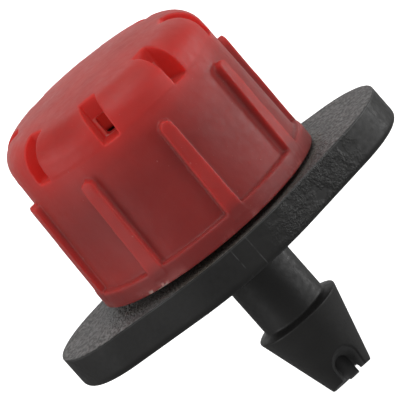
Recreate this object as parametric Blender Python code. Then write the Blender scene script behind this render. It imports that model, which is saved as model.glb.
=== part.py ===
"""Adjustable screw-cap drip emitter: barbed base, outlet cap and shut-off washer.

Metres, +Z up along the screw axis. The barb points down and the cap is on top.
The origin is on the axis, in the plane of the flange's underside.
"""
import math

import bmesh
import bpy
from mathutils import Matrix, Vector

MM = 0.001

# Running gap between pieces that touch on the real emitter.
GAP = 0.30 * MM

# Flange: a long plate, with round noses, slanted sides and a gently bowed middle.
FLANGE_THICKNESS = 2.17 * MM
NOSE_CENTRE_X = 6.45 * MM
NOSE_RADIUS = 4.95 * MM
FLANGE_HALF_WIDTH = 7.50 * MM
BOW_RADIUS = 9.80 * MM
FLANGE_LOWER_BEVEL = 0.45 * MM

# Barb that is pushed into a micro tube of 4 mm bore.
STEM_RADIUS = 2.07 * MM
LIP_RADIUS = 2.69 * MM
LIP_Z = -4.76 * MM
LIP_BACK_RISE = 0.12 * MM
LIP_BACK_SLOPE = 0.17 * MM
TIP_RADIUS = 1.27 * MM
TIP_Z = -9.90 * MM
TIP_SLANT_DEG = 18.0
BORE_RADIUS = 0.46 * MM
NOTCH_ANGLE_DEG = 280.0
NOTCH_INNER_REACH = 0.23 * MM
NOTCH_INNER_WIDTH = 1.00 * MM
NOTCH_INNER_TOP_Z = -8.15 * MM
NOTCH_OUTER_REACH = 2.20 * MM
NOTCH_OUTER_WIDTH = 2.20 * MM
NOTCH_OUTER_TOP_Z = -7.17 * MM
# The tip's end steps back on both sides of a narrow tongue, with a nick beside it: left, right, top.
TIP_STEPS = {
    "left_step": (-LIP_RADIUS, -0.22 * MM, -9.62 * MM),
    "right_step": (0.52 * MM, LIP_RADIUS, -9.36 * MM),
    "nick": (0.46 * MM, 0.64 * MM, -9.12 * MM),
}

# Threaded spigot above the flange, with a nozzle that the washer closes.
SPIGOT_RADIUS = 4.95 * MM
SPIGOT_TOP_Z = 9.70 * MM
NOZZLE_RADIUS = 1.60 * MM
NOZZLE_TOP_Z = 10.40 * MM
ORIFICE_RADIUS = 0.40 * MM
ORIFICE_FLOOR_Z = 8.60 * MM
SPIGOT_CHAMFER = 0.30 * MM

# Thread, right-handed and single start.
THREAD_PITCH = 2.0 * MM
THREAD_ROOT_WIDTH = 0.80 * MM
THREAD_CREST_WIDTH = 0.40 * MM
THREAD_SINK = 0.15 * MM
SPIGOT_CREST_RADIUS = 5.45 * MM
SPIGOT_THREAD_START_Z = 3.40 * MM
SPIGOT_THREAD_TURNS = 2.75
CAP_CREST_RADIUS = 5.27 * MM
CAP_THREAD_TURNS = 2.0

# Cap: crowned roof, round shoulder, slightly tapered skirt and a proud band.
CAP_BOTTOM_Z = 2.56 * MM
CAP_TOP_Z = 13.49 * MM
CROWN_RADIUS = 35.0 * MM
CAP_SHOULDER_RADIUS = 1.72 * MM
CAP_WALL_TOP_RADIUS = 6.74 * MM
CAP_WALL_FOOT_RADIUS = 6.98 * MM
BAND_RADIUS = 7.36 * MM
BAND_HEIGHT = 1.10 * MM
BAND_BEVEL = 0.12 * MM
SKIRT_BORE_RADIUS = 5.80 * MM
SKIRT_ROOF_Z = 10.30 * MM
CHAMBER_RADIUS = 4.35 * MM
CHAMBER_ROOF_Z = 12.20 * MM
BOSS_OUTER_RADIUS = 3.00 * MM
BOSS_INNER_RADIUS = 2.50 * MM
BOSS_FOOT_Z = 10.62 * MM
SOCKET_RADIUS = 1.15 * MM
SOCKET_ROOF_Z = 12.85 * MM

# Outlets round the shoulder, and the grip ribs half-way between them.
OUTLET_COUNT = 8
OUTLET_ANGLE_DEG = 34.2
OUTLET_WIDTH = 1.10 * MM
OUTLET_FLOOR_Z = 10.80 * MM
OUTLET_BACK_RADIUS = 5.05 * MM
PORT_WIDTH = 0.64 * MM
PORT_TOP_Z = 11.95 * MM
RIB_TOP_Z = 9.85 * MM
RIB_TOP_WIDTH = 0.80 * MM
RIB_FOOT_WIDTH = 1.05 * MM
RIB_TOP_RADIUS = 7.30 * MM
RIB_FOOT_RADIUS = 7.38 * MM

# Shut-off washer: a disc inside the cap's boss, with a stem that turns in the socket in the roof.
WASHER_RADIUS = BOSS_INNER_RADIUS - GAP
WASHER_THICKNESS = 0.90 * MM
WASHER_STEM_RADIUS = SOCKET_RADIUS - GAP
WASHER_STEM_LENGTH = 0.95 * MM

AROUND = 64
THREAD_STEPS_PER_TURN = 32
ARC_STEPS = 6
CROWN_STEPS = 3
BEVEL_STEPS = 3
NOSE_STEPS = 14
BOW_STEPS = 8
SMOOTH_ANGLE = math.radians(35)
OVERSHOOT = 2.0 * MM
TOUCH = 0.001 * MM


def clear_scene():
    for old in list(bpy.data.objects):
        bpy.data.objects.remove(old)


def plastic(name, colour, roughness):
    material = bpy.data.materials.new(name)
    material.use_nodes = True
    shader = material.node_tree.nodes["Principled BSDF"]
    shader.inputs["Base Color"].default_value = (*colour, 1.0)
    shader.inputs["Roughness"].default_value = roughness
    shader.inputs["Metallic"].default_value = 0.0
    material.diffuse_color = (*colour, 1.0)
    return material


def object_from_bmesh(name, shape):
    """Turn a finished bmesh into a scene object with outward faces."""
    bmesh.ops.recalc_face_normals(shape, faces=shape.faces)
    mesh = bpy.data.meshes.new(name)
    shape.to_mesh(mesh)
    shape.free()
    mesh.shade_smooth()
    mesh.set_sharp_from_angle(angle=SMOOTH_ANGLE)
    made = bpy.data.objects.new(name, mesh)
    bpy.context.collection.objects.link(made)
    return made


def turned(name, profile):
    """Turn an open (radius, z) profile, whose two ends lie on the axis, about Z."""
    shape = bmesh.new()
    rings = []
    for radius, z in profile:
        if radius == 0.0:
            rings.append([shape.verts.new((0.0, 0.0, z))])
            continue
        ring = []
        for step in range(AROUND):
            angle = math.tau * step / AROUND
            ring.append(shape.verts.new((radius * math.cos(angle), radius * math.sin(angle), z)))
        rings.append(ring)
    for upper, lower in zip(rings, rings[1:]):
        for step in range(AROUND):
            following = (step + 1) % AROUND
            corners = [upper[step % len(upper)], upper[following % len(upper)]]
            corners += [lower[following % len(lower)], lower[step % len(lower)]]
            shape.faces.new(list(dict.fromkeys(corners)))
    return object_from_bmesh(name, shape)


def prism(name, outline, bottom, top):
    """Extrude a flat (x, y) outline from z = bottom to z = top."""
    shape = bmesh.new()
    low = [shape.verts.new((x, y, bottom)) for x, y in outline]
    high = [shape.verts.new((x, y, top)) for x, y in outline]
    shape.faces.new(low[::-1])
    shape.faces.new(high)
    for index in range(len(outline)):
        following = (index + 1) % len(outline)
        shape.faces.new((low[index], low[following], high[following], high[index]))
    return object_from_bmesh(name, shape)


def add_hull(shape, corners):
    """Add a convex block, given by its corners, to a bmesh as a body of its own."""
    points = [shape.verts.new(corner) for corner in corners]
    bmesh.ops.convex_hull(shape, input=points)


def helical_ridge(name, root_radius, crest_radius, start_z, turns):
    """Sweep a trapezoid tooth along a right-handed helix and close both ends."""
    root = THREAD_ROOT_WIDTH / 2
    crest = THREAD_CREST_WIDTH / 2
    tooth = [(root_radius, -root), (crest_radius, -crest), (crest_radius, crest), (root_radius, root)]
    steps = round(turns * THREAD_STEPS_PER_TURN)
    shape = bmesh.new()
    sections = []
    for step in range(steps + 1):
        angle = math.tau * step / THREAD_STEPS_PER_TURN
        rise = THREAD_PITCH * step / THREAD_STEPS_PER_TURN
        section = []
        for radius, z in tooth:
            place = (radius * math.cos(angle), radius * math.sin(angle), start_z + rise + z)
            section.append(shape.verts.new(place))
        sections.append(section)
    for first, second in zip(sections, sections[1:]):
        for corner in range(len(tooth)):
            following = (corner + 1) % len(tooth)
            shape.faces.new((first[corner], first[following], second[following], second[corner]))
    shape.faces.new(sections[0])
    shape.faces.new(sections[-1][::-1])
    return object_from_bmesh(name, shape)


def combine(target, other, operation):
    """Join or cut target with another closed solid that stays out of the model."""
    other.hide_render = True
    other.display_type = "WIRE"
    step = target.modifiers.new(other.name, "BOOLEAN")
    step.operation = operation
    step.solver = "EXACT"
    step.object = other


def arc(centre, radius, start, end, steps):
    """Points on an arc; the angles are in radians."""
    points = []
    for step in range(steps + 1):
        angle = start + (end - start) * step / steps
        points.append((centre[0] + radius * math.cos(angle), centre[1] + radius * math.sin(angle)))
    return points


def side_slant():
    """Angle of the straight side, which touches both the nose circle and the bow circle."""
    bow_centre_y = FLANGE_HALF_WIDTH - BOW_RADIUS
    reach = math.hypot(NOSE_CENTRE_X, bow_centre_y)
    return math.asin((BOW_RADIUS - NOSE_RADIUS) / reach) - math.atan2(-bow_centre_y, NOSE_CENTRE_X)


def flange_outline():
    """Closed outline of the plate, counter-clockwise from the right nose."""
    lean = side_slant()
    quarter = math.pi / 2
    bow_centre = FLANGE_HALF_WIDTH - BOW_RADIUS
    outline = arc((NOSE_CENTRE_X, 0.0), NOSE_RADIUS, lean - quarter, quarter - lean, NOSE_STEPS)
    outline += arc((0.0, bow_centre), BOW_RADIUS, quarter - lean, quarter + lean, BOW_STEPS)
    outline += arc((-NOSE_CENTRE_X, 0.0), NOSE_RADIUS, quarter + lean, 3 * quarter - lean, NOSE_STEPS)
    outline += arc((0.0, -bow_centre), BOW_RADIUS, 3 * quarter - lean, 3 * quarter + lean, BOW_STEPS)
    return outline


def flange_plate():
    """The plate, with a bevel round its lower edge."""
    plate = prism("flange_plate", flange_outline(), 0.0, FLANGE_THICKNESS)
    shape = bmesh.new()
    shape.from_mesh(plate.data)
    lower_rim = [edge for edge in shape.edges if all(abs(vert.co.z) < TOUCH for vert in edge.verts)]
    bmesh.ops.bevel(shape, geom=lower_rim, offset=FLANGE_LOWER_BEVEL, segments=BEVEL_STEPS, profile=0.5,
                    affect="EDGES", clamp_overlap=True)
    shape.to_mesh(plate.data)
    shape.free()
    return plate


def barbed_base(material):
    """Flange, threaded spigot and barb, moulded in one piece round a through bore."""
    profile = [
        (0.0, NOZZLE_TOP_Z),
        (NOZZLE_RADIUS - SPIGOT_CHAMFER, NOZZLE_TOP_Z),
        (NOZZLE_RADIUS, NOZZLE_TOP_Z - SPIGOT_CHAMFER),
        (NOZZLE_RADIUS, SPIGOT_TOP_Z),
        (SPIGOT_RADIUS - SPIGOT_CHAMFER, SPIGOT_TOP_Z),
        (SPIGOT_RADIUS, SPIGOT_TOP_Z - SPIGOT_CHAMFER),
        (SPIGOT_RADIUS, FLANGE_THICKNESS / 2),
        (STEM_RADIUS, FLANGE_THICKNESS / 2),
        (STEM_RADIUS, LIP_Z + LIP_BACK_RISE + LIP_BACK_SLOPE),
        (LIP_RADIUS - LIP_BACK_RISE / 2, LIP_Z + LIP_BACK_RISE),
        (LIP_RADIUS, LIP_Z),
        (TIP_RADIUS, TIP_Z),
        (0.0, TIP_Z),
    ]
    base = turned("barbed_base", profile)
    base.data.materials.append(material)
    combine(base, flange_plate(), "UNION")
    thread = helical_ridge("spigot_thread", SPIGOT_RADIUS - THREAD_SINK, SPIGOT_CREST_RADIUS,
                           SPIGOT_THREAD_START_Z, SPIGOT_THREAD_TURNS)
    combine(base, thread, "UNION")
    combine(base, water_way(), "DIFFERENCE")
    combine(base, tip_cut(), "DIFFERENCE")
    combine(base, tip_notch(), "DIFFERENCE")
    for name in TIP_STEPS:
        combine(base, tip_step(name), "DIFFERENCE")
    return base


def water_way():
    """Bore through the barb and spigot, narrowed to an orifice in the nozzle."""
    return turned("water_way", [
        (0.0, NOZZLE_TOP_Z + OVERSHOOT),
        (ORIFICE_RADIUS, NOZZLE_TOP_Z + OVERSHOOT),
        (ORIFICE_RADIUS, ORIFICE_FLOOR_Z),
        (BORE_RADIUS, ORIFICE_FLOOR_Z - SPIGOT_CHAMFER),
        (BORE_RADIUS, TIP_Z - OVERSHOOT),
        (0.0, TIP_Z - OVERSHOOT),
    ])


def tip_cut():
    """Block under a slanted plane, which leaves the barb's far side the longest."""
    block = prism("tip_cut", [(-1, -1), (1, -1), (1, 1), (-1, 1)], -1.0, 0.0)
    slant = Matrix.Rotation(-math.radians(TIP_SLANT_DEG), 4, "X")
    far_edge = Vector((0.0, TIP_RADIUS, TIP_Z))
    size = Matrix.Scale(3 * LIP_RADIUS, 4)
    block.data.transform(Matrix.Translation(far_edge) @ slant @ size)
    return block


def tip_notch():
    """Arched notch in the near wall of the barb's tip, flaring from the bore outwards."""
    shape = bmesh.new()
    turn = Matrix.Rotation(math.radians(NOTCH_ANGLE_DEG), 4, "Z")
    corners = []
    for reach, width, top in ((NOTCH_INNER_REACH, NOTCH_INNER_WIDTH, NOTCH_INNER_TOP_Z),
                              (NOTCH_OUTER_REACH, NOTCH_OUTER_WIDTH, NOTCH_OUTER_TOP_Z)):
        half = width / 2
        outline = [(half, TIP_Z - OVERSHOOT), (-half, TIP_Z - OVERSHOOT)]
        outline += arc((0.0, top - half), half, 0.0, math.pi, ARC_STEPS * 2)
        corners += [turn @ Vector((reach, y, z)) for y, z in outline]
    add_hull(shape, corners)
    return object_from_bmesh("tip_notch", shape)


def tip_step(name):
    """Block across the whole tip, under one of its steps."""
    left, right, top = TIP_STEPS[name]
    outline = [(left, -LIP_RADIUS), (right, -LIP_RADIUS), (right, LIP_RADIUS), (left, LIP_RADIUS)]
    return prism(name, outline, TIP_Z - OVERSHOOT, top)


def cap_shell():
    """Turned cap: crown, shoulder, skirt and band outside; boss, chamber and skirt bore inside."""
    wall_run = SKIRT_ROOF_Z - CAP_BOTTOM_Z
    lean = math.atan2(CAP_WALL_FOOT_RADIUS - CAP_WALL_TOP_RADIUS, wall_run)
    crown_centre = (0.0, CAP_TOP_Z - CROWN_RADIUS)
    shoulder_r = CAP_WALL_TOP_RADIUS - CAP_SHOULDER_RADIUS
    # The shoulder's circle touches the crown's circle from inside, so their centres are this far apart.
    spread = CROWN_RADIUS - CAP_SHOULDER_RADIUS
    shoulder_start = math.acos(shoulder_r / spread)
    shoulder_centre = (shoulder_r, crown_centre[1] + spread * math.sin(shoulder_start))
    crown = arc(crown_centre, CROWN_RADIUS, math.pi / 2, shoulder_start, CROWN_STEPS)
    shoulder = arc(shoulder_centre, CAP_SHOULDER_RADIUS, shoulder_start, lean, ARC_STEPS)
    band_top = CAP_BOTTOM_Z + BAND_HEIGHT
    crown[0] = (0.0, CAP_TOP_Z)
    profile = crown + shoulder[1:] + [
        (CAP_WALL_FOOT_RADIUS, band_top),
        (BAND_RADIUS - BAND_BEVEL, band_top),
        (BAND_RADIUS, band_top - BAND_BEVEL),
        (BAND_RADIUS, CAP_BOTTOM_Z),
        (SKIRT_BORE_RADIUS, CAP_BOTTOM_Z),
        (SKIRT_BORE_RADIUS, SKIRT_ROOF_Z),
        (CHAMBER_RADIUS, SKIRT_ROOF_Z),
        (CHAMBER_RADIUS, CHAMBER_ROOF_Z),
        (BOSS_OUTER_RADIUS, CHAMBER_ROOF_Z),
        (BOSS_OUTER_RADIUS, BOSS_FOOT_Z),
        (BOSS_INNER_RADIUS, BOSS_FOOT_Z),
        (BOSS_INNER_RADIUS, CHAMBER_ROOF_Z),
        (SOCKET_RADIUS, CHAMBER_ROOF_Z),
        (SOCKET_RADIUS, SOCKET_ROOF_Z),
        (0.0, SOCKET_ROOF_Z),
    ]
    return turned("outlet_cap", profile)


def around_axis(index, phase_deg):
    return Matrix.Rotation(math.radians(phase_deg + 360 * index / OUTLET_COUNT), 4, "Z")


def radial_blocks(name, phase_deg, inner, outer, width, bottom, top):
    """One straight-sided block for each outlet, all in one cutter."""
    shape = bmesh.new()
    for index in range(OUTLET_COUNT):
        turn = around_axis(index, phase_deg)
        corners = []
        for radius in (inner, outer):
            for side in (-width / 2, width / 2):
                for z in (bottom, top):
                    corners.append(turn @ Vector((radius, side, z)))
        add_hull(shape, corners)
    return object_from_bmesh(name, shape)


def grip_ribs():
    """Flat-faced ribs that widen downwards and run into the band, with round upper ends."""
    foot_z = CAP_BOTTOM_Z + BAND_HEIGHT / 2
    half = RIB_TOP_WIDTH / 2
    head_arc = arc((0.0, RIB_TOP_Z - half), half, 0.0, math.pi, ARC_STEPS)
    shape = bmesh.new()
    for index in range(OUTLET_COUNT):
        turn = around_axis(index, OUTLET_ANGLE_DEG + 180 / OUTLET_COUNT)
        corners = []
        for inner in (True, False):
            foot = SKIRT_BORE_RADIUS + GAP if inner else RIB_FOOT_RADIUS
            head = SKIRT_BORE_RADIUS + GAP if inner else RIB_TOP_RADIUS
            corners += [(foot, -RIB_FOOT_WIDTH / 2, foot_z), (foot, RIB_FOOT_WIDTH / 2, foot_z)]
            corners += [(head, y, z) for y, z in head_arc]
        add_hull(shape, [turn @ Vector(corner) for corner in corners])
    return object_from_bmesh("grip_ribs", shape)


def outlet_cap(material):
    """Cap with its grip ribs, inside thread, outlet channels and ports."""
    cap = cap_shell()
    cap.data.materials.append(material)
    combine(cap, grip_ribs(), "UNION")
    mesh_offset = THREAD_PITCH / 2
    thread = helical_ridge("cap_thread", SKIRT_BORE_RADIUS + THREAD_SINK, CAP_CREST_RADIUS,
                           SPIGOT_THREAD_START_Z + mesh_offset, CAP_THREAD_TURNS)
    combine(cap, thread, "UNION")
    channels = radial_blocks("outlet_channels", OUTLET_ANGLE_DEG, OUTLET_BACK_RADIUS,
                             BAND_RADIUS + OVERSHOOT, OUTLET_WIDTH, OUTLET_FLOOR_Z, CAP_TOP_Z + OVERSHOOT)
    combine(cap, channels, "DIFFERENCE")
    ports = radial_blocks("outlet_ports", OUTLET_ANGLE_DEG, CHAMBER_RADIUS - GAP,
                          OUTLET_BACK_RADIUS + GAP, PORT_WIDTH, OUTLET_FLOOR_Z, PORT_TOP_Z)
    combine(cap, ports, "DIFFERENCE")
    return cap


def shutoff_washer(material):
    """Rubber disc over the nozzle, on a short stem that turns in the cap's socket."""
    bottom = NOZZLE_TOP_Z + GAP
    top = bottom + WASHER_THICKNESS
    washer = turned("shutoff_washer", [
        (0.0, top + WASHER_STEM_LENGTH),
        (WASHER_STEM_RADIUS, top + WASHER_STEM_LENGTH),
        (WASHER_STEM_RADIUS, top),
        (WASHER_RADIUS, top),
        (WASHER_RADIUS, bottom),
        (0.0, bottom),
    ])
    washer.data.materials.append(material)
    return washer


def build():
    clear_scene()
    axis = bpy.data.objects.new("screw_axis", None)
    bpy.context.collection.objects.link(axis)
    barbed_base(plastic("black_plastic", (0.022, 0.022, 0.024), 0.55))
    cap = outlet_cap(plastic("red_plastic", (0.38, 0.035, 0.030), 0.42))
    washer = shutoff_washer(plastic("grey_rubber", (0.10, 0.10, 0.11), 0.75))
    for moving in (cap, washer):
        moving.parent = axis


build()
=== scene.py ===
"""Looks of the adjustable drip emitter: moulded surfaces, plastics, studio and camera.

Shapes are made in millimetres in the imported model's frame, and scaled to metres at the end.
"""
import math

import bmesh
import bpy
from mathutils import Matrix, Vector

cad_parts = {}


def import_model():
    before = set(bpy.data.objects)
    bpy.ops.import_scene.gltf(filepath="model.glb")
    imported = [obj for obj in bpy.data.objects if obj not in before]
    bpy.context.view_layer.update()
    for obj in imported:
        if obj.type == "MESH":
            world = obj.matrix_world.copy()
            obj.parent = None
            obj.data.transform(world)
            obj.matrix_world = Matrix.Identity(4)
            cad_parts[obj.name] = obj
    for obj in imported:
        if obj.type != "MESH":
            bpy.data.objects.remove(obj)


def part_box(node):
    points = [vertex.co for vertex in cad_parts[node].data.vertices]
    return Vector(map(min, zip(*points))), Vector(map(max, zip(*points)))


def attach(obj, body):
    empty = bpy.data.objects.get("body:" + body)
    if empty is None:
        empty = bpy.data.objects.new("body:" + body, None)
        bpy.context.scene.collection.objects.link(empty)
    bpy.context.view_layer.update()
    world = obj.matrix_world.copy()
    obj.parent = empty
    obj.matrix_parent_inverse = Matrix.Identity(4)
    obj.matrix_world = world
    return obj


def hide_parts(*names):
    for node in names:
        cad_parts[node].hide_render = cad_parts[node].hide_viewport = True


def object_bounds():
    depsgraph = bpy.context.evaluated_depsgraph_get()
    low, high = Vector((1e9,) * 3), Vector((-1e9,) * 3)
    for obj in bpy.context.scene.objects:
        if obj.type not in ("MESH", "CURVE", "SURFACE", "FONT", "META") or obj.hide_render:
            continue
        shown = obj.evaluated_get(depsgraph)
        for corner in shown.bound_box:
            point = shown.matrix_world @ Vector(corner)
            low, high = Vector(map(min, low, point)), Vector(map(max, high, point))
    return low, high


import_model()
cad_low, cad_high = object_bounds()

MM = 0.001

# Fineness of the moulded surfaces: voxel size in millimetres, most triangles left, rounds of
# smoothing, and points round a full turn.
VOXEL = 0.055
MOST_TRIANGLES = 190_000
BASE_SMOOTHING = 3
CAP_SMOOTHING = 16
AROUND = 192


def in_mm(corner):
    return corner / MM


BASE_LOW, BASE_HIGH = (in_mm(corner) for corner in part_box("barbed_base"))
CAP_LOW, CAP_HIGH = (in_mm(corner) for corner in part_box("outlet_cap"))
WASHER_LOW, WASHER_HIGH = (in_mm(corner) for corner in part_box("shutoff_washer"))

# Flange plate: round noses, straight slanted sides and a gently bowed middle.
FLANGE_TOP = 2.17
FLANGE_HALF_LENGTH = BASE_HIGH.x
FLANGE_HALF_WIDTH = BASE_HIGH.y
FLANGE_EDGE = 0.45
NOSE_RADIUS = 4.95
BOW_RADIUS = 9.80

# Barb below the flange.
STEM_RADIUS = 2.07
LIP_RADIUS = 2.69
LIP_Z = -4.76
LIP_BACK_RISE = 0.12
LIP_BACK_SLOPE = 0.17
LIP_EDGE = 0.08
TIP_RADIUS = 1.27
TIP_Z = BASE_LOW.z
TIP_SLANT = math.radians(18.0)
BORE_RADIUS = 0.46

# Arched notch in the tip: its distance from the axis, width and arch top, inside and outside.
NOTCH_ANGLE = math.radians(280.0)
NOTCH_INNER = (0.23, 1.00, -8.15)
NOTCH_OUTER = (2.20, 2.20, -7.17)

# Ragged end of the tip: each step's two sides along X, and the height it is cut away up to.
TIP_STEPS = ((-LIP_RADIUS, -0.22, -9.62), (0.52, LIP_RADIUS, -9.36), (0.46, 0.64, -9.12))

# Spigot above the flange, with the nozzle on it.
NOZZLE_TOP = BASE_HIGH.z
NOZZLE_RADIUS = 1.60
NOZZLE_CHAMFER = 0.25
SPIGOT_TOP = NOZZLE_TOP - 0.70
SPIGOT_RADIUS = 4.95
SPIGOT_CHAMFER = 0.30
ORIFICE_RADIUS = 0.40
ORIFICE_FLOOR = 8.60
ORIFICE_TAPER = 0.30

# Thread: pitch, tooth, and where it runs on the spigot and in the cap.
PITCH = 2.0
TOOTH_ROOT = 0.80
TOOTH_CREST = 0.40
TOOTH_SINK = 0.20
SPIGOT_CREST_RADIUS = 5.45
THREAD_START = 3.40
SPIGOT_TURNS = 2.75
CAP_CREST_RADIUS = 5.27
CAP_TURNS = 2.0

# Cap, outside.
CAP_BOTTOM = CAP_LOW.z
CAP_TOP = CAP_HIGH.z
CROWN_RADIUS = 35.0
SHOULDER_RADIUS = 1.72
WALL_TOP = 11.50
WALL_TOP_RADIUS = 6.74
WALL_FOOT_RADIUS = 6.98
BAND_RADIUS = 7.36
BAND_TOP = CAP_BOTTOM + 1.10
BAND_EDGE = 0.08

# Cap, inside.
SKIRT_BORE_RADIUS = 5.80
SKIRT_ROOF = 10.30
CHAMBER_RADIUS = 4.35
CHAMBER_ROOF = 12.20
BOSS_OUTER_RADIUS = 3.00
BOSS_INNER_RADIUS = 2.50
BOSS_FOOT = 10.62
SOCKET_RADIUS = 1.15
SOCKET_ROOF = 12.85

# Outlet channels and their ports, the petals between the channels, and the grip ribs.
OUTLETS = 8
OUTLET_PHASE = math.radians(34.2)
OUTLET_WIDTH = 1.10
OUTLET_FLOOR = 10.80
OUTLET_BACK_RADIUS = 5.05
PORT_WIDTH = 0.64
PORT_TOP = 11.95
PORT_OVERLAP = 0.3
PETAL_FOOT = OUTLET_FLOOR + 0.05
PETAL_STEP = 0.02
PETAL_UNDERCUT = 0.03
RIB_PHASE = OUTLET_PHASE + math.pi / OUTLETS
RIB_TOP = 9.85
RIB_TOP_WIDTH = 0.80
RIB_FOOT_WIDTH = 1.05
RIB_INNER_RADIUS = SKIRT_BORE_RADIUS + 0.3
RIB_TOP_RADIUS = 7.30
RIB_FOOT_RADIUS = 7.38

# Washer: a disc, and a stem that stands in the cap's socket with this clearance.
STEM_CLEARANCE = 0.30
DISC_THICKNESS = 0.90
WASHER_EDGE = 0.15

# How far a cutter runs past what it cuts through.
OVERSHOOT = 2.0

# The cap sits a little cocked on its thread.
CAP_LEAN = math.radians(1.7)
CAP_PIVOT_Z = 11.7

# Camera: a little above the part, leaning to one side, with a long lens. The view's width and
# middle are at the part, and the distances here and below are in metres.
CAMERA_ELEVATION = math.radians(11.7)
CAMERA_ROLL = math.radians(41.5)
CAMERA_DISTANCE = 0.40
CAMERA_SENSOR_MM = 36.0
VIEW_WIDTH = 22.124 * MM
VIEW_MIDDLE = Vector((0.1225, 0.0, 3.753)) * MM

# Studio: the floor, the sky, and each light's direction from the part, size, power and colour.
FLOOR_HALF_SIZE = 2.0
FLOOR_GAP = 0.0002
SKY_STRENGTH = 0.20
LIGHT_DISTANCE = 0.30
WHITE = (1.0, 1.0, 1.0)
LIGHTS = (
    ("overhead", (0.20, -0.20, 1.0), 0.30, 0.19, (1.0, 0.97, 0.93)),
    ("backdrop", (0.10, 1.0, 0.30), 0.45, 0.26, WHITE),
    ("front", (0.10, -0.70, 0.75), 0.25, 0.20, WHITE),
    ("right", (1.0, -0.45, -0.05), 0.12, 0.16, WHITE),
    ("far_right", (0.95, 0.20, -0.12), 0.08, 0.16, WHITE),
    ("left", (-1.0, -0.35, 0.25), 0.20, 0.24, WHITE),
)


# ---------------------------------------------------------------- mesh making

def object_from_bmesh(name, shape):
    """Turn a bmesh into an object, with its faces pointing out."""
    bmesh.ops.recalc_face_normals(shape, faces=shape.faces)
    mesh = bpy.data.meshes.new(name)
    shape.to_mesh(mesh)
    shape.free()
    made = bpy.data.objects.new(name, mesh)
    bpy.context.collection.objects.link(made)
    return made


def arc(centre, radius, start, end, steps):
    """Points on an arc; the angles are in radians."""
    points = []
    for step in range(steps + 1):
        angle = start + (end - start) * step / steps
        points.append((centre[0] + radius * math.cos(angle), centre[1] + radius * math.sin(angle)))
    return points


def turned(name, profile, around=AROUND):
    """Turn an open (radius, z) profile, whose two ends lie on the axis, about Z."""
    shape = bmesh.new()
    rings = []
    for radius, z in profile:
        if radius == 0.0:
            rings.append([shape.verts.new((0.0, 0.0, z))])
            continue
        ring = []
        for step in range(around):
            angle = math.tau * step / around
            ring.append(shape.verts.new((radius * math.cos(angle), radius * math.sin(angle), z)))
        rings.append(ring)
    for upper, lower in zip(rings, rings[1:]):
        for step in range(around):
            following = (step + 1) % around
            corners = [upper[step % len(upper)], upper[following % len(upper)]]
            corners += [lower[following % len(lower)], lower[step % len(lower)]]
            # A ring on the axis is one point, so its two corners are the same.
            shape.faces.new(list(dict.fromkeys(corners)))
    return object_from_bmesh(name, shape)


def prism(name, outline, bottom, top):
    """Extrude a flat (x, y) outline from z = bottom to z = top."""
    shape = bmesh.new()
    low = [shape.verts.new((x, y, bottom)) for x, y in outline]
    high = [shape.verts.new((x, y, top)) for x, y in outline]
    shape.faces.new(low[::-1])
    shape.faces.new(high)
    for index in range(len(outline)):
        following = (index + 1) % len(outline)
        shape.faces.new((low[index], low[following], high[following], high[index]))
    return object_from_bmesh(name, shape)


def bevel_rim(plate, z, width, segments):
    """Round the rim of a prism at height z."""
    shape = bmesh.new()
    shape.from_mesh(plate.data)
    rim = [edge for edge in shape.edges if all(abs(vert.co.z - z) < 1e-4 for vert in edge.verts)]
    bmesh.ops.bevel(shape, geom=rim, offset=width, segments=segments, profile=0.5,
                    affect="EDGES", clamp_overlap=True)
    shape.to_mesh(plate.data)
    shape.free()


def helical_ridge(name, root_radius, crest_radius, start_z, turns):
    """Sweep a trapezoid tooth along a right-handed helix and close both ends."""
    root = TOOTH_ROOT / 2
    crest = TOOTH_CREST / 2
    tooth = [(root_radius, -root), (crest_radius, -crest), (crest_radius, crest), (root_radius, root)]
    steps = round(turns * AROUND / 2)
    shape = bmesh.new()
    sections = []
    for step in range(steps + 1):
        angle = math.tau * turns * step / steps
        rise = PITCH * turns * step / steps
        section = []
        for radius, z in tooth:
            place = (radius * math.cos(angle), radius * math.sin(angle), start_z + rise + z)
            section.append(shape.verts.new(place))
        sections.append(section)
    for first, second in zip(sections, sections[1:]):
        for corner in range(len(tooth)):
            following = (corner + 1) % len(tooth)
            shape.faces.new((first[corner], first[following], second[following], second[corner]))
    shape.faces.new(sections[0])
    shape.faces.new(sections[-1][::-1])
    return object_from_bmesh(name, shape)


def add_hull(shape, corners):
    """Add the convex solid round some points to a bmesh."""
    points = [shape.verts.new(corner) for corner in corners]
    bmesh.ops.convex_hull(shape, input=points)


def freeze(piece):
    """Apply every modifier of a piece."""
    graph = bpy.context.evaluated_depsgraph_get()
    mesh = bpy.data.meshes.new_from_object(piece.evaluated_get(graph))
    piece.modifiers.clear()
    piece.data = mesh


def combine(target, other, operation):
    """Join or cut target with another closed solid, and drop that solid."""
    step = target.modifiers.new(other.name, "BOOLEAN")
    step.operation = operation
    step.solver = "EXACT"
    step.object = other
    freeze(target)
    bpy.data.objects.remove(other)


def mould(piece, smoothing):
    """Give a sharp solid the soft edges and continuous skin of a moulding."""
    remesh = piece.modifiers.new("skin", "REMESH")
    remesh.mode = "VOXEL"
    remesh.voxel_size = VOXEL
    remesh.adaptivity = 0.0
    soften = piece.modifiers.new("soften", "SMOOTH")
    soften.factor = 0.5
    soften.iterations = smoothing
    freeze(piece)
    triangles = 2 * len(piece.data.polygons)
    if triangles > MOST_TRIANGLES:
        thin = piece.modifiers.new("thin", "DECIMATE")
        thin.ratio = MOST_TRIANGLES / triangles
        freeze(piece)


def to_metres(piece):
    piece.data.transform(Matrix.Scale(MM, 4))
    piece.data.shade_smooth()


# ---------------------------------------------------------------- base moulding

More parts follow.
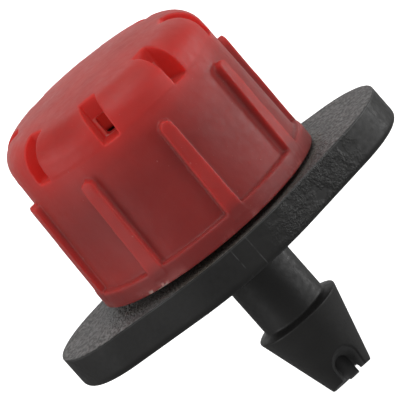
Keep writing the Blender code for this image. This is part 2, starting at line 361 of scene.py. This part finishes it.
def flange_outline():
    """Closed outline of the plate, counter-clockwise from the right nose."""
    nose_x = FLANGE_HALF_LENGTH - NOSE_RADIUS
    bow_y = FLANGE_HALF_WIDTH - BOW_RADIUS
    reach = math.hypot(nose_x, bow_y)
    lean = math.asin((BOW_RADIUS - NOSE_RADIUS) / reach) - math.atan2(-bow_y, nose_x)
    quarter = math.pi / 2
    outline = arc((nose_x, 0.0), NOSE_RADIUS, lean - quarter, quarter - lean, 48)
    outline += arc((0.0, bow_y), BOW_RADIUS, quarter - lean, quarter + lean, 24)
    outline += arc((-nose_x, 0.0), NOSE_RADIUS, quarter + lean, 3 * quarter - lean, 48)
    outline += arc((0.0, -bow_y), BOW_RADIUS, 3 * quarter - lean, 3 * quarter + lean, 24)
    return outline


def base_profile():
    """Nozzle, spigot, stem, lip with its sloping back, and cone, turned in one."""
    lip_back = LIP_Z + LIP_BACK_RISE
    lip_edge = (LIP_RADIUS - LIP_EDGE, lip_back - LIP_EDGE)
    return [
        (0.0, NOZZLE_TOP),
        (NOZZLE_RADIUS - NOZZLE_CHAMFER, NOZZLE_TOP),
        (NOZZLE_RADIUS, NOZZLE_TOP - NOZZLE_CHAMFER),
        (NOZZLE_RADIUS, SPIGOT_TOP),
        (SPIGOT_RADIUS - SPIGOT_CHAMFER, SPIGOT_TOP),
        (SPIGOT_RADIUS, SPIGOT_TOP - SPIGOT_CHAMFER),
        (SPIGOT_RADIUS, FLANGE_TOP / 2),
        (STEM_RADIUS, FLANGE_TOP / 2),
        (STEM_RADIUS, lip_back + LIP_BACK_SLOPE),
        *arc(lip_edge, LIP_EDGE, math.radians(60), math.radians(-15), 6),
        (TIP_RADIUS, TIP_Z),
        (0.0, TIP_Z),
    ]


def water_way():
    return turned("water_way", [
        (0.0, NOZZLE_TOP + OVERSHOOT),
        (ORIFICE_RADIUS, NOZZLE_TOP + OVERSHOOT),
        (ORIFICE_RADIUS, ORIFICE_FLOOR),
        (BORE_RADIUS, ORIFICE_FLOOR - ORIFICE_TAPER),
        (BORE_RADIUS, TIP_Z - OVERSHOOT),
        (0.0, TIP_Z - OVERSHOOT),
    ], 64)


def tip_cut():
    """Block that cuts the tip off at a slant, through the far side of its end."""
    block = prism("tip_cut", [(-1, -1), (1, -1), (1, 1), (-1, 1)], -1.0, 0.0)
    slant = Matrix.Rotation(-TIP_SLANT, 4, "X")
    far_edge = Vector((0.0, TIP_RADIUS, TIP_Z))
    block.data.transform(Matrix.Translation(far_edge) @ slant @ Matrix.Scale(3 * LIP_RADIUS, 4))
    return block


def tip_notch():
    """Arched notch in the near wall of the tip, flaring from the bore outwards."""
    shape = bmesh.new()
    turn = Matrix.Rotation(NOTCH_ANGLE, 4, "Z")
    corners = []
    for reach, width, top in (NOTCH_INNER, NOTCH_OUTER):
        half = width / 2
        outline = [(half, TIP_Z - OVERSHOOT), (-half, TIP_Z - OVERSHOOT)]
        outline += arc((0.0, top - half), half, 0.0, math.pi, 24)
        corners += [turn @ Vector((reach, y, z)) for y, z in outline]
    add_hull(shape, corners)
    return object_from_bmesh("tip_notch", shape)


def base_moulding():
    base = turned("base_moulding", base_profile())
    plate = prism("plate", flange_outline(), 0.0, FLANGE_TOP)
    bevel_rim(plate, 0.0, FLANGE_EDGE, 6)
    combine(base, plate, "UNION")
    thread = helical_ridge("spigot_thread", SPIGOT_RADIUS - TOOTH_SINK, SPIGOT_CREST_RADIUS,
                           THREAD_START, SPIGOT_TURNS)
    combine(base, thread, "UNION")
    combine(base, water_way(), "DIFFERENCE")
    combine(base, tip_cut(), "DIFFERENCE")
    combine(base, tip_notch(), "DIFFERENCE")
    for left, right, top in TIP_STEPS:
        outline = [(left, -LIP_RADIUS), (right, -LIP_RADIUS), (right, LIP_RADIUS), (left, LIP_RADIUS)]
        combine(base, prism("tip_step", outline, TIP_Z - OVERSHOOT, top), "DIFFERENCE")
    mould(base, BASE_SMOOTHING)
    to_metres(base)
    return base


# ---------------------------------------------------------------- cap moulding

def cap_profile():
    """Crown, shoulder, skirt and band outside; socket, boss, chamber and skirt bore inside."""
    lean = math.atan2(WALL_FOOT_RADIUS - WALL_TOP_RADIUS, SKIRT_ROOF - CAP_BOTTOM)
    shoulder_r = WALL_TOP_RADIUS - SHOULDER_RADIUS
    spread = CROWN_RADIUS - SHOULDER_RADIUS
    shoulder_start = math.acos(shoulder_r / spread)
    crown = arc((0.0, CAP_TOP - CROWN_RADIUS), CROWN_RADIUS, math.pi / 2, shoulder_start, 12)
    crown[0] = (0.0, CAP_TOP)  # exactly on the axis
    centre = (shoulder_r, CAP_TOP - CROWN_RADIUS + spread * math.sin(shoulder_start))
    shoulder = arc(centre, SHOULDER_RADIUS, shoulder_start, lean, 24)
    petal_radius = WALL_TOP_RADIUS + (WALL_TOP - PETAL_FOOT) * math.tan(lean)
    return crown + shoulder[1:] + [
        (petal_radius + PETAL_STEP, PETAL_FOOT + PETAL_STEP),
        (petal_radius, PETAL_FOOT - PETAL_UNDERCUT),
        (WALL_FOOT_RADIUS, BAND_TOP),
        (BAND_RADIUS - BAND_EDGE, BAND_TOP),
        (BAND_RADIUS, BAND_TOP - BAND_EDGE),
        (BAND_RADIUS, CAP_BOTTOM),
        (SKIRT_BORE_RADIUS, CAP_BOTTOM),
        (SKIRT_BORE_RADIUS, SKIRT_ROOF),
        (CHAMBER_RADIUS, SKIRT_ROOF),
        (CHAMBER_RADIUS, CHAMBER_ROOF),
        (BOSS_OUTER_RADIUS, CHAMBER_ROOF),
        (BOSS_OUTER_RADIUS, BOSS_FOOT),
        (BOSS_INNER_RADIUS, BOSS_FOOT),
        (BOSS_INNER_RADIUS, CHAMBER_ROOF),
        (SOCKET_RADIUS, CHAMBER_ROOF),
        (SOCKET_RADIUS, SOCKET_ROOF),
        (0.0, SOCKET_ROOF),
    ]


def radial_blocks(name, inner, outer, width, bottom, top):
    """One straight-sided block for each outlet, all in one cutter."""
    shape = bmesh.new()
    for index in range(OUTLETS):
        turn = Matrix.Rotation(OUTLET_PHASE + math.tau * index / OUTLETS, 4, "Z")
        corners = []
        for radius in (inner, outer):
            for side in (-width / 2, width / 2):
                for z in (bottom, top):
                    corners.append(turn @ Vector((radius, side, z)))
        add_hull(shape, corners)
    return object_from_bmesh(name, shape)


def grip_ribs():
    """Flat-faced ribs that widen downwards and run into the band, with round upper ends."""
    foot_z = (CAP_BOTTOM + BAND_TOP) / 2
    head = arc((0.0, RIB_TOP - RIB_TOP_WIDTH / 2), RIB_TOP_WIDTH / 2, 0.0, math.pi, 16)
    sections = ((RIB_INNER_RADIUS, RIB_INNER_RADIUS), (RIB_FOOT_RADIUS, RIB_TOP_RADIUS))
    shape = bmesh.new()
    for index in range(OUTLETS):
        turn = Matrix.Rotation(RIB_PHASE + math.tau * index / OUTLETS, 4, "Z")
        corners = []
        for foot_radius, head_radius in sections:
            corners += [(foot_radius, side * RIB_FOOT_WIDTH / 2, foot_z) for side in (-1, 1)]
            corners += [(head_radius, y, z) for y, z in head]
        add_hull(shape, [turn @ Vector(corner) for corner in corners])
    return object_from_bmesh("grip_ribs", shape)


def cap_moulding():
    cap = turned("cap_moulding", cap_profile())
    combine(cap, grip_ribs(), "UNION")
    thread = helical_ridge("cap_thread", SKIRT_BORE_RADIUS + TOOTH_SINK, CAP_CREST_RADIUS,
                           THREAD_START + PITCH / 2, CAP_TURNS)
    combine(cap, thread, "UNION")
    channels = radial_blocks("channels", OUTLET_BACK_RADIUS, BAND_RADIUS + OVERSHOOT,
                             OUTLET_WIDTH, OUTLET_FLOOR, CAP_TOP + OVERSHOOT)
    combine(cap, channels, "DIFFERENCE")
    ports = radial_blocks("ports", CHAMBER_RADIUS - PORT_OVERLAP, OUTLET_BACK_RADIUS + PORT_OVERLAP,
                          PORT_WIDTH, OUTLET_FLOOR, PORT_TOP)
    combine(cap, ports, "DIFFERENCE")
    mould(cap, CAP_SMOOTHING)
    # The finished moulding leans as a whole.
    pivot = Matrix.Translation((0.0, 0.0, CAP_PIVOT_Z))
    cap.data.transform(pivot @ Matrix.Rotation(CAP_LEAN, 4, "Y") @ pivot.inverted())
    to_metres(cap)
    return cap


# ---------------------------------------------------------------- washer

def washer_disc():
    """Rubber disc with softened rims and a short stem."""
    stem_radius = SOCKET_RADIUS - STEM_CLEARANCE
    disc_radius = WASHER_HIGH.x
    disc_top = WASHER_LOW.z + DISC_THICKNESS
    edge = WASHER_EDGE
    disc = turned("washer_disc", [
        (0.0, WASHER_HIGH.z),
        *arc((stem_radius - edge, WASHER_HIGH.z - edge), edge, math.pi / 2, 0.0, 6),
        (stem_radius, disc_top),
        *arc((disc_radius - edge, disc_top - edge), edge, math.pi / 2, 0.0, 6),
        *arc((disc_radius - edge, WASHER_LOW.z + edge), edge, 0.0, -math.pi / 2, 6),
        (0.0, WASHER_LOW.z),
    ], 96)
    to_metres(disc)
    return disc


# ---------------------------------------------------------------- materials

class Nodes:
    """Short calls for building one material's node tree."""

    def __init__(self, name):
        self.material = bpy.data.materials.new(name)
        self.material.use_nodes = True
        self.tree = self.material.node_tree
        self.shader = self.tree.nodes["Principled BSDF"]
        self.place = self.tree.nodes.new("ShaderNodeTexCoord").outputs["Object"]

    def plug(self, socket, value):
        """Link another node's output to a socket, or set a constant on it."""
        if isinstance(value, bpy.types.NodeSocket):
            self.tree.links.new(value, socket)
        else:
            socket.default_value = value

    def add(self, kind, inputs, **settings):
        node = self.tree.nodes.new(kind)
        for name, value in settings.items():
            setattr(node, name, value)
        for key, value in inputs.items():
            self.plug(node.inputs[key], value)
        return node

    def feed(self, name, value):
        self.plug(self.shader.inputs[name], value)

    def noise(self, scale, detail=4.0, roughness=0.5, at=None):
        """Noise whose features measure about 1 / scale metres."""
        inputs = {"Vector": at or self.place, "Scale": scale, "Detail": detail, "Roughness": roughness}
        return self.add("ShaderNodeTexNoise", inputs).outputs["Fac"]

    def remap(self, value, start, end, low=0.0, high=1.0):
        """Low at start, high at end, even between them and level beyond them."""
        inputs = {"Value": value, "From Min": start, "From Max": end, "To Min": low, "To Max": high}
        return self.add("ShaderNodeMapRange", inputs, clamp=True).outputs["Result"]

    def ramp(self, length, start, end, low=0.0, high=1.0):
        """Remap a length, with start and end given in millimetres."""
        return self.remap(length, start * MM, end * MM, low, high)

    def stripe(self, length, centre, width):
        """One where a length is near centre, and zero beyond width / 2 of it, in millimetres."""
        off = self.math("ABSOLUTE", self.minus(length, centre * MM))
        return self.ramp(off, width / 2, width / 4)

    def math(self, operation, first, second=0.0):
        return self.add("ShaderNodeMath", {0: first, 1: second}, operation=operation).outputs[0]

    def plus(self, first, second):
        return self.math("ADD", first, second)

    def minus(self, first, second):
        return self.math("SUBTRACT", first, second)

    def times(self, first, *others):
        for other in others:
            first = self.math("MULTIPLY", first, other)
        return first

    def mix(self, factor, first, second):
        node = self.add("ShaderNodeMix", {}, data_type="RGBA")
        by_name = {socket.identifier: socket for socket in node.inputs}
        self.plug(by_name["Factor_Float"], factor)
        self.plug(by_name["A_Color"], first)
        self.plug(by_name["B_Color"], second)
        return [socket for socket in node.outputs if socket.identifier == "Result_Color"][0]

    def from_axis(self):
        """X, Y, Z and the distance from the screw axis."""
        x, y, z = self.add("ShaderNodeSeparateXYZ", {"Vector": self.place}).outputs
        radius = self.math("SQRT", self.plus(self.times(x, x), self.times(y, y)))
        return x, y, z, radius

    def bump(self, height, distance, strength, onto=None):
        inputs = {"Height": height, "Distance": distance, "Strength": strength}
        if onto is not None:
            inputs["Normal"] = onto
        return self.add("ShaderNodeBump", inputs).outputs["Normal"]


# ---------------------------------------------------------------- red plastic

RED_DARK = (0.51, 0.029, 0.023, 1)
RED_LIGHT = (0.64, 0.050, 0.041, 1)
RED_SHOULDER_GLOW = (0.74, 0.045, 0.037, 1)
RED_SHADED_AND_BACKED_BY_BLACK = (0.26, 0.026, 0.024, 1)
RED_CHAFED = (0.62, 0.20, 0.18, 1)
RED_WHITENED = (0.80, 0.52, 0.47, 1)
RED_SPECK = (0.66, 0.30, 0.26, 1)
RED_CHANNEL_GLOW = (0.66, 0.028, 0.022, 1)
RED_PORT_FRAME = (0.72, 0.27, 0.24, 1)
RED_GLOW = (1.0, 0.060, 0.042, 1)
RED_SHEEN = (1.0, 0.86, 0.78, 1)
FLASH_X = -4.75
FLASH_WIDTH = 1.5


def painted_skirt_shade(nodes, z, radius):
    """Darkening down the skirt: the black spigot behind the thin wall, and painted shade; the ribs are
    thicker.
    """
    on_rib = nodes.times(nodes.ramp(radius, WALL_FOOT_RADIUS + 0.02, WALL_FOOT_RADIUS + 0.25),
                         nodes.ramp(z, BAND_TOP, BAND_TOP + 0.6))
    onset = nodes.ramp(z, OUTLET_FLOOR + 0.05, OUTLET_FLOOR - 0.10, 0.0, 0.10)
    below = nodes.plus(onset, nodes.ramp(z, OUTLET_FLOOR, RIB_TOP - 2.0, 0.0, 0.57))
    # The band gets extra painted shade.
    band_shade = nodes.ramp(z, BAND_TOP + 0.1, BAND_TOP - 0.1, 0.0, 0.20)
    return nodes.plus(nodes.times(below, nodes.minus(1.0, nodes.times(on_rib, 0.6))), band_shade)


def chafed_foot(nodes, z):
    return nodes.times(nodes.ramp(z, CAP_BOTTOM + 0.75, CAP_BOTTOM + 0.05),
                       nodes.remap(nodes.noise(850.0, 4.0, 0.6), 0.50, 0.68))


def whitened_flash(nodes, x, y, z):
    """Bit of flash left on the foot's near edge."""
    place = nodes.times(nodes.stripe(x, FLASH_X, FLASH_WIDTH), nodes.ramp(y, 0.0, -1.0))
    edge = nodes.ramp(z, CAP_BOTTOM + 0.42, CAP_BOTTOM + 0.25)
    return nodes.times(place, edge, nodes.remap(nodes.noise(2400.0, 3.0), 0.46, 0.54))


def beside_outlet(nodes, x, y, radius):
    """Distance from the middle plane of the nearest outlet channel."""
    angle = nodes.minus(nodes.math("ARCTAN2", y, x), OUTLET_PHASE)
    nearest = nodes.math("PINGPONG", angle, math.pi / OUTLETS)
    return nodes.times(radius, nodes.math("SINE", nearest))


def channel_walls(nodes, beside, z, radius):
    in_channel = nodes.ramp(beside, OUTLET_WIDTH / 2 + 0.07, OUTLET_WIDTH / 2 - 0.01)
    above_floor = nodes.ramp(z, OUTLET_FLOOR - 0.10, OUTLET_FLOOR + 0.20)
    outside = nodes.ramp(radius, OUTLET_BACK_RADIUS - 0.20, OUTLET_BACK_RADIUS - 0.05)
    return nodes.times(in_channel, above_floor, outside)


def chamber_walls(nodes, z, radius):
    height = nodes.times(nodes.ramp(z, BOSS_FOOT, BOSS_FOOT + 0.3),
                         nodes.ramp(z, CHAMBER_ROOF + 0.10, CHAMBER_ROOF))
    return nodes.times(height, nodes.ramp(radius, CHAMBER_RADIUS + 0.25, CHAMBER_RADIUS + 0.05))


def port_frame(nodes, beside, z, radius):
    side = nodes.ramp(beside, PORT_WIDTH / 2 + 0.16, PORT_WIDTH / 2 + 0.10)
    depth = nodes.stripe(radius, OUTLET_BACK_RADIUS, 0.30)
    return nodes.times(side, depth, nodes.ramp(z, PORT_TOP + 0.14, PORT_TOP + 0.08))


def red_plastic():
    """Translucent red polyethylene with a satin, faintly uneven skin."""
    nodes = Nodes("red_plastic_look")
    fine = nodes.noise(2600.0, 5.0)
    x, y, z, radius = nodes.from_axis()
    beside = beside_outlet(nodes, x, y, radius)
    channel = channel_walls(nodes, beside, z, radius)
    # Painted glow: the shoulder, with only the chamber behind it, is painted a stronger red for the
    # light that comes through it.
    shoulder = nodes.stripe(z, OUTLET_FLOOR + 0.3, 2.8)
    specks = nodes.remap(nodes.noise(5200.0, 1.0), 0.77, 0.80)

    colour = nodes.mix(nodes.remap(nodes.noise(260.0, 3.0), 0.32, 0.68), RED_DARK, RED_LIGHT)
    colour = nodes.mix(nodes.times(shoulder, 0.6), colour, RED_SHOULDER_GLOW)
    # Skirt darker towards the bottom: the black spigot showing through the thin wall, and painted
    # shade.
    colour = nodes.mix(painted_skirt_shade(nodes, z, radius), colour, RED_SHADED_AND_BACKED_BY_BLACK)
    colour = nodes.mix(nodes.times(chafed_foot(nodes, z), 0.55), colour, RED_CHAFED)
    colour = nodes.mix(whitened_flash(nodes, x, y, z), colour, RED_WHITENED)
    colour = nodes.mix(nodes.times(specks, 0.35), colour, RED_SPECK)
    # Painted glow: the channel walls are a brighter, stronger red for the light that comes through the
    # roof.
    colour = nodes.mix(nodes.times(channel, 0.6), colour, RED_CHANNEL_GLOW)
    colour = nodes.mix(nodes.times(port_frame(nodes, beside, z, radius), 0.6), colour, RED_PORT_FRAME)
    nodes.feed("Base Color", colour)

    # Light that comes through the roof glows on the walls of the channels and of the chamber.
    glow = nodes.plus(nodes.times(channel, 0.065), nodes.times(chamber_walls(nodes, z, radius), 0.13))
    nodes.feed("Emission Color", RED_GLOW)
    nodes.feed("Emission Strength", glow)

    satin = nodes.remap(nodes.noise(420.0, 3.0), 0.35, 0.65, -0.05, 0.06)
    nodes.feed("Roughness", nodes.plus(nodes.remap(fine, 0.3, 0.7, 0.46, 0.58), satin))
    swell = nodes.bump(nodes.noise(700.0, 2.0), 0.00006, 0.6)
    grain = nodes.bump(nodes.noise(1900.0, 3.0, 0.6), 0.00002, 0.6, swell)
    nodes.feed("Normal", nodes.bump(fine, 0.000012, 0.6, grain))
    nodes.feed("IOR", 1.50)
    nodes.feed("Specular IOR Level", 0.5)
    nodes.feed("Sheen Weight", 0.07)
    nodes.feed("Sheen Roughness", 0.45)
    nodes.feed("Sheen Tint", RED_SHEEN)
    nodes.feed("Subsurface Weight", 0.85)
    nodes.feed("Subsurface Radius", (1.0, 0.12, 0.09))
    nodes.feed("Subsurface Scale", 0.0015)
    return nodes.material


# ---------------------------------------------------------------- black plastic and rubber

BLACK_DARK = (0.016, 0.0155, 0.0150, 1)
BLACK_LIGHT = (0.027, 0.0265, 0.0255, 1)
BLACK_GRIT_AND_TOP_LIGHT = (0.21, 0.205, 0.20, 1)
BLACK_PITTED = (0.052, 0.052, 0.051, 1)
BLACK_LINES_AND_RIM_HIGHLIGHT = (0.12, 0.12, 0.12, 1)
BLACK_NOTCH_PAINTED_LIGHT = (0.10, 0.10, 0.10, 1)
BROWNISH_RING = (0.23, 0.20, 0.15, 1)
RUBBER_DARK = (0.085, 0.085, 0.09, 1)
RUBBER_LIGHT = (0.12, 0.12, 0.125, 1)

# The two witness lines' places along X and their widths.
WITNESS_LINES = ((0.62, 0.08), (-0.47, 0.07))


def pitted_stretch(nodes, x, on_plate):
    """Patchy stretch of the plate's side between the stem and the right nose."""
    stretch = nodes.times(nodes.ramp(x, 1.2, 3.0), nodes.ramp(x, 8.8, 7.6))
    return nodes.times(on_plate, stretch, nodes.remap(nodes.noise(900.0, 3.0), 0.34, 0.52))


def witness_lines(nodes, x, y, on_plate):
    """Faint lines of the mould on the plate's near side."""
    first, second = (nodes.stripe(x, place, width) for place, width in WITNESS_LINES)
    lines = nodes.times(nodes.plus(first, second), nodes.ramp(y, -6.0, -6.5), on_plate)
    return nodes.times(lines, nodes.remap(nodes.noise(1500.0, 2.0), 0.40, 0.56))


def notch_walls(nodes, z, radius):
    """Surfaces that lie inside the tip's cone."""
    cone = nodes.remap(z, TIP_Z * MM, LIP_Z * MM, (TIP_RADIUS - 0.10) * MM, (LIP_RADIUS - 0.10) * MM)
    return nodes.times(nodes.ramp(nodes.minus(cone, radius), 0.0, 0.12), nodes.ramp(z, -7.2, -7.6))


def black_plastic():
    """Black polypropylene: satin sides, gritty top face painted lighter for light from above, painted
    highlight on the rim, pitted right side.
    """
    nodes = Nodes("black_plastic_look")
    cloud = nodes.noise(300.0, 4.0)
    fine = nodes.noise(3200.0, 5.0)
    x, y, z, radius = nodes.from_axis()
    above_side = nodes.ramp(z, FLANGE_TOP - 0.06, FLANGE_TOP)
    on_top = nodes.times(above_side, nodes.ramp(z, FLANGE_TOP + 0.2, FLANGE_TOP + 0.1))
    on_plate = nodes.times(nodes.ramp(z, 0.0, 0.3), nodes.minus(1.0, above_side))

    # The grit runs a little across the flange, as the mould's tooling left it.
    stretched = nodes.add("ShaderNodeMapping", {"Vector": nodes.place, "Scale": (1.0, 0.45, 1.0)})
    pits = nodes.noise(5200.0, 2.0, 0.6, stretched.outputs["Vector"])
    # The top face's grain is painted light grey for the light falling on it from above, with painted
    # shade towards the cap.
    lit_top_grit = nodes.times(nodes.remap(pits, 0.42, 0.60, 0.05, 1.0),
                       nodes.ramp(radius, BAND_RADIUS, BAND_RADIUS + 1.4, 0.35, 1.0))
    # A lighter brownish ring on the top face next to the cap.
    ring_by_cap = nodes.times(on_top, nodes.ramp(radius, BAND_RADIUS + 0.4, BAND_RADIUS))
    pitted = pitted_stretch(nodes, x, on_plate)
    cells = nodes.noise(7000.0, 2.0, 0.6)
    specks = nodes.times(nodes.remap(cells, 0.48, 0.64), pitted)
    # Painted highlight along the top rim, where its small round catches the light.
    rim = nodes.times(nodes.stripe(z, FLANGE_TOP - 0.05, 0.16), nodes.remap(cloud, 0.35, 0.6))
    lines = witness_lines(nodes, x, y, on_plate)
    # The witness lines and the rim's painted highlight share one lighter grey.
    lines_and_rim_highlight = nodes.math("MAXIMUM", nodes.times(rim, 0.7), nodes.times(lines, 0.55))

    colour = nodes.mix(nodes.remap(cloud, 0.3, 0.7), BLACK_DARK, BLACK_LIGHT)
    colour = nodes.mix(nodes.times(lit_top_grit, on_top), colour, BLACK_GRIT_AND_TOP_LIGHT)
    colour = nodes.mix(nodes.times(ring_by_cap, 0.35), colour, BROWNISH_RING)
    colour = nodes.mix(nodes.times(specks, 0.7), colour, BLACK_PITTED)
    colour = nodes.mix(lines_and_rim_highlight, colour, BLACK_LINES_AND_RIM_HIGHLIGHT)
    # Painted light: the walls inside the tip's notch are lighter, for light bounced up from below.
    colour = nodes.mix(nodes.times(notch_walls(nodes, z, radius), 0.8), colour, BLACK_NOTCH_PAINTED_LIGHT)
    nodes.feed("Base Color", colour)
    nodes.feed("Roughness", nodes.remap(fine, 0.3, 0.7, 0.42, 0.62))
    relief = nodes.plus(nodes.times(pits, on_top), nodes.times(cells, pitted))
    nodes.feed("Normal", nodes.bump(fine, 0.000015, 0.7, nodes.bump(relief, 0.00018, 1.0)))
    nodes.feed("IOR", 1.49)
    nodes.feed("Specular IOR Level", 0.5)
    return nodes.material


def grey_rubber():
    nodes = Nodes("grey_rubber_look")
    fine = nodes.noise(4200.0, 5.0)
    tone = nodes.remap(nodes.noise(500.0, 4.0), 0.3, 0.7)
    nodes.feed("Base Color", nodes.mix(tone, RUBBER_DARK, RUBBER_LIGHT))
    nodes.feed("Roughness", nodes.remap(fine, 0.3, 0.7, 0.65, 0.85))
    nodes.feed("Normal", nodes.bump(fine, 0.00002, 0.7))
    return nodes.material


# ---------------------------------------------------------------- studio

def pale_floor_material():
    nodes = Nodes("pale_floor")
    nodes.feed("Base Color", (0.9, 0.9, 0.9, 1))
    nodes.feed("Roughness", 0.9)
    nodes.feed("Emission Color", (1, 1, 1, 1))
    nodes.feed("Emission Strength", 1.0)
    return nodes.material


def floor():
    """Pale floor just under the barb's tip; it lights nothing itself and blocks no light."""
    z = cad_low.z - FLOOR_GAP
    shape = bmesh.new()
    size = FLOOR_HALF_SIZE
    corners = [(-size, -size), (size, -size), (size, size), (-size, size)]
    shape.faces.new([shape.verts.new((x, y, z)) for x, y in corners])
    plane = object_from_bmesh("floor", shape)
    plane.data.materials.append(pale_floor_material())
    plane.visible_diffuse = False
    plane.visible_glossy = False
    plane.visible_shadow = False


def area_light(name, direction, size, power, colour):
    """Soft round light, aimed at the object's middle."""
    light = bpy.data.lights.new(name, "AREA")
    light.shape = "DISK"
    light.size = size
    light.energy = power
    light.color = colour
    lamp = bpy.data.objects.new(name, light)
    middle = (cad_low + cad_high) / 2
    lamp.location = middle + Vector(direction).normalized() * LIGHT_DISTANCE
    lamp.rotation_euler = (middle - lamp.location).to_track_quat("-Z", "Y").to_euler()
    bpy.context.collection.objects.link(lamp)


def world():
    sky = bpy.data.worlds.new("studio")
    sky.use_nodes = True
    background = sky.node_tree.nodes["Background"]
    background.inputs["Color"].default_value = (1, 1, 1, 1)
    background.inputs["Strength"].default_value = SKY_STRENGTH
    bpy.context.scene.world = sky


def camera():
    lens = bpy.data.cameras.new("camera")
    lens.sensor_width = CAMERA_SENSOR_MM
    lens.lens = CAMERA_SENSOR_MM * CAMERA_DISTANCE / VIEW_WIDTH
    lens.clip_start = 0.01
    lens.clip_end = 10.0
    holder = bpy.data.objects.new("camera", lens)
    bpy.context.collection.objects.link(holder)
    back = Vector((0.0, -math.cos(CAMERA_ELEVATION), math.sin(CAMERA_ELEVATION)))
    upright = (-back).to_track_quat("-Z", "Y").to_matrix().to_4x4()
    lean = Matrix.Rotation(-CAMERA_ROLL, 4, "Z")
    holder.matrix_world = Matrix.Translation(VIEW_MIDDLE + back * CAMERA_DISTANCE) @ upright @ lean
    bpy.context.scene.camera = holder


# ---------------------------------------------------------------- the scene

def dress(piece, material, body, node):
    """Give a piece its material, and let it stand for its node on its body."""
    piece.data.materials.clear()
    piece.data.materials.append(material)
    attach(piece, body)
    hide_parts(node)


camera()
world()
floor()
for light_settings in LIGHTS:
    area_light(*light_settings)

dress(cap_moulding(), red_plastic(), "cap", "outlet_cap")
dress(base_moulding(), black_plastic(), "base", "barbed_base")
dress(washer_disc(), grey_rubber(), "washer_carrier", "shutoff_washer")

# The plastics' colours are chosen for plain display colours.
bpy.context.scene.view_settings.view_transform = "Standard"
